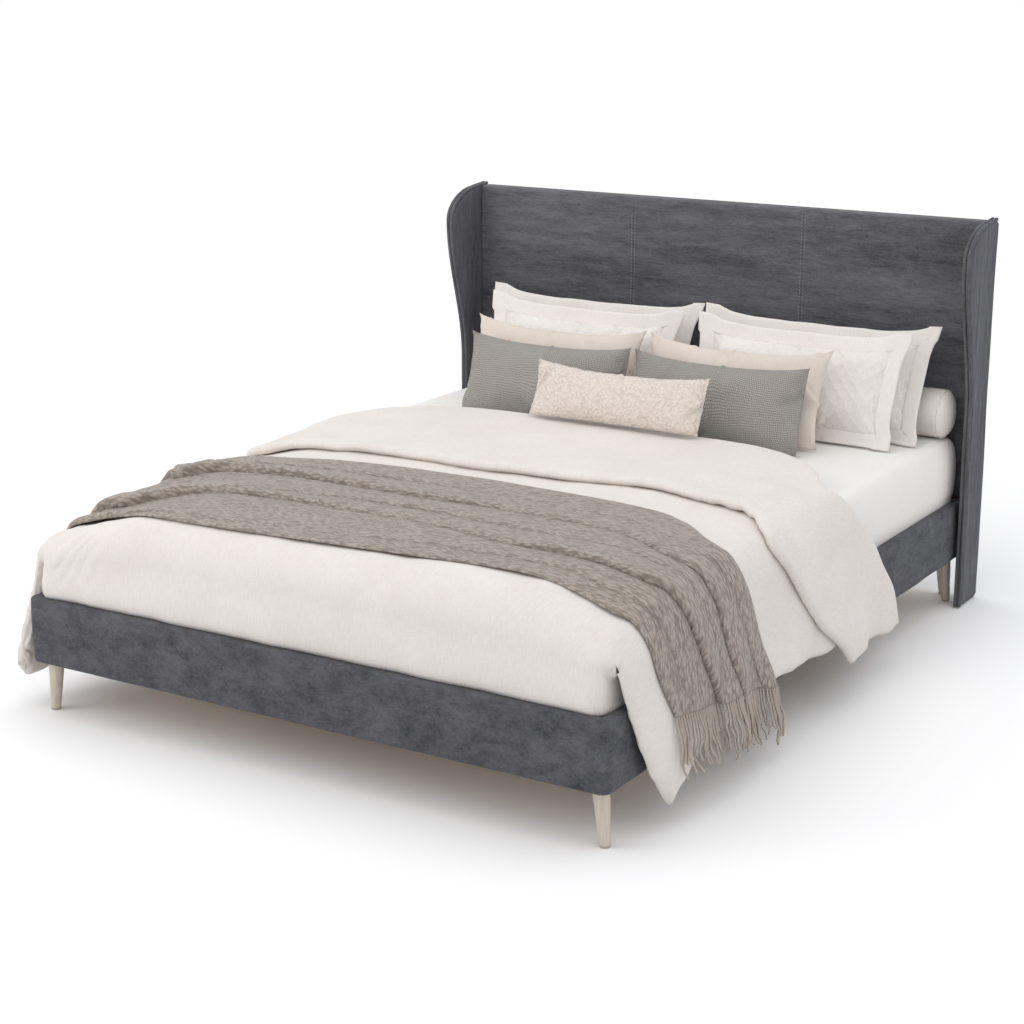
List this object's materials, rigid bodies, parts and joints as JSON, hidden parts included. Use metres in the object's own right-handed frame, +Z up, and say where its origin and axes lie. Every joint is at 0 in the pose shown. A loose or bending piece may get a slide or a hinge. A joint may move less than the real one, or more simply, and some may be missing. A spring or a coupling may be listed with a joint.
{
  "type": "upholstered bed",
  "caption": "Upholstered double bed with a winged headboard, slatted base, tapered legs, mattress, draped duvet, fringed throw and pillows.",
  "frame": {"origin": "floor level, in the middle of the whole bed's length and width", "axes": "+X to the right seen from the foot of the bed, +Y from the foot to the headboard, +Z up"},
  "size_m": [1.8044, 2.183, 1.127],
  "materials": {
    "slat_timber": "sanded pine slats, matt",
    "frame_timber": "sanded plywood and softwood, unfinished",
    "rail_velvet": "charcoal grey brushed velvet with a blotchy pile",
    "headboard_velvet": "charcoal grey brushed velvet, pile streaked across",
    "wing_velvet": "charcoal grey brushed velvet, pile streaked upwards",
    "piping_velvet": "charcoal grey velvet over cord",
    "back_cloth": "charcoal grey velvet, flat",
    "bracket_steel": "zinc plated",
    "bolt_steel": "zinc plated",
    "painted_leg": "turned beech, warm off-white satin paint",
    "centre_leg_paint": "black powder coat",
    "leveller_plastic": "moulded black nylon",
    "glide_felt": "hard felt glide",
    "mattress_ticking": "knitted white ticking",
    "sheet_cotton": "white cotton percale",
    "duvet_linen": "washed off-white linen",
    "throw_knit": "taupe chunky knit with fringe",
    "pillow_linen": "washed off-white linen",
    "taupe_cotton": "smooth taupe cotton",
    "grey_weave": "grey basket weave",
    "boucle_cream": "cream boucle",
    "bolster_linen": "washed off-white linen"
  },
  "bodies": {
    "bed_frame": {"beam_hangers": "bracket_steel", "centre_beam": "frame_timber", "centre_leg_front": "centre_leg_paint", "centre_leg_rear": "centre_leg_paint", "corner_blocks": "frame_timber", "foot_rail_board": "frame_timber", "foot_rail_cover": "rail_velvet", "frame_bolts": "bolt_steel", "head_rail": "frame_timber", "headboard_back_cover": "back_cloth", "headboard_board": "frame_timber", "headboard_legs": "painted_leg", "headboard_panel_centre": "headboard_velvet", "headboard_panel_left": "headboard_velvet", "headboard_panel_right": "headboard_velvet", "leg_front_left": "painted_leg", "leg_front_right": "painted_leg", "leg_glides": "glide_felt", "leg_rear_left": "painted_leg", "leg_rear_right": "painted_leg", "side_rail_board_left": "frame_timber", "side_rail_board_right": "frame_timber", "side_rail_cover_left": "rail_velvet", "side_rail_cover_right": "rail_velvet", "slat_01": "slat_timber", "slat_02": "slat_timber", "slat_03": "slat_timber", "slat_04": "slat_timber", "slat_05": "slat_timber", "slat_06": "slat_timber", "slat_07": "slat_timber", "slat_08": "slat_timber", "slat_09": "slat_timber", "slat_10": "slat_timber", "slat_11": "slat_timber", "slat_12": "slat_timber", "slat_ledger_left": "frame_timber", "slat_ledger_right": "frame_timber", "wing_board_left": "frame_timber", "wing_board_right": "frame_timber", "wing_cover_left": "wing_velvet", "wing_cover_right": "wing_velvet", "wing_piping_left": "piping_velvet", "wing_piping_right": "piping_velvet"},
    "bedding": {"mattress": "mattress_ticking", "fitted_sheet": "sheet_cotton", "duvet": "duvet_linen", "throw_blanket": "throw_knit", "bolster": "bolster_linen", "grey_cushion_left": "grey_weave", "grey_cushion_right": "grey_weave", "lumbar_cushion": "boucle_cream", "oxford_pillow_back_left": "pillow_linen", "oxford_pillow_back_right": "pillow_linen", "oxford_pillow_front_left": "pillow_linen", "oxford_pillow_front_right": "pillow_linen", "taupe_cushion_left": "taupe_cotton", "taupe_cushion_right": "taupe_cotton"},
    "levelling_foot_front": {"levelling_foot_front": "leveller_plastic"},
    "levelling_foot_rear": {"levelling_foot_rear": "leveller_plastic"}
  },
  "joints": [
    {"name": "mattress_lift", "type": "slide", "parent": "bed_frame", "child": "bedding", "axis": [0, 0, 1], "range_m": [0, 0.4]},
    {"name": "levelling_front", "type": "slide", "parent": "bed_frame", "child": "levelling_foot_front", "axis": [0, 0, 1], "range_m": [0, 0.012]},
    {"name": "levelling_rear", "type": "slide", "parent": "bed_frame", "child": "levelling_foot_rear", "axis": [0, 0, 1], "range_m": [0, 0.012]}
  ]
}
